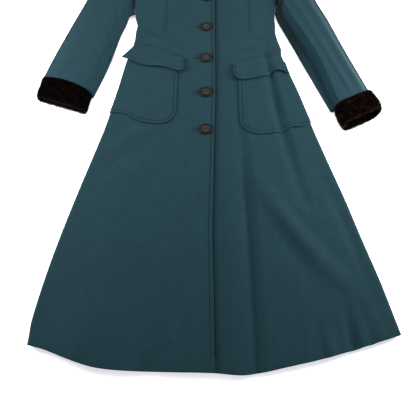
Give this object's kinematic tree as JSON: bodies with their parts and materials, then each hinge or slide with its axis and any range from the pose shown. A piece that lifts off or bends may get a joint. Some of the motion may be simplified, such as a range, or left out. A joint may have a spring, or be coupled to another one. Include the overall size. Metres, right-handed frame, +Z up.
{
  "type": "stand-collar coat",
  "caption": "Long waisted coat with a stand collar, buttoned front, flapped patch pockets and fur cuffs, laid flat on its back",
  "frame": {"origin": "Centre of the coat's plan box, on the surface that the coat lies on", "axes": "+Y runs from the hem to the collar along the coat's longest side, +X to the wearer's left, +Z up from the surface to the front of the coat"},
  "size_m": [0.8594, 1.2939, 0.0425],
  "materials": {
    "wool": "thick milled wool with a soft nap",
    "fur": "dense sheared fur pile",
    "horn": "dark horn, half gloss, dished face"
  },
  "bodies": {
    "root": {"bodice_back_left": "wool", "bodice_back_right": "wool", "bodice_front_left": "wool", "bodice_front_right": "wool", "bodice_side_back_left": "wool", "bodice_side_back_right": "wool", "bodice_side_front_left": "wool", "bodice_side_front_right": "wool", "button_1": "horn", "button_2": "horn", "button_3": "horn", "button_4": "horn", "button_5": "horn", "button_6": "horn", "button_7": "horn", "collar": "wool", "flap_left": "wool", "flap_right": "wool", "fur_cuff_left": "fur", "fur_cuff_right": "fur", "pocket_left": "wool", "pocket_right": "wool", "skirt_back_left": "wool", "skirt_back_right": "wool", "skirt_front_left": "wool", "skirt_front_right": "wool", "sleeve_top_left": "wool", "sleeve_top_right": "wool", "sleeve_under_left": "wool", "sleeve_under_right": "wool"}
  },
  "joints": []
}
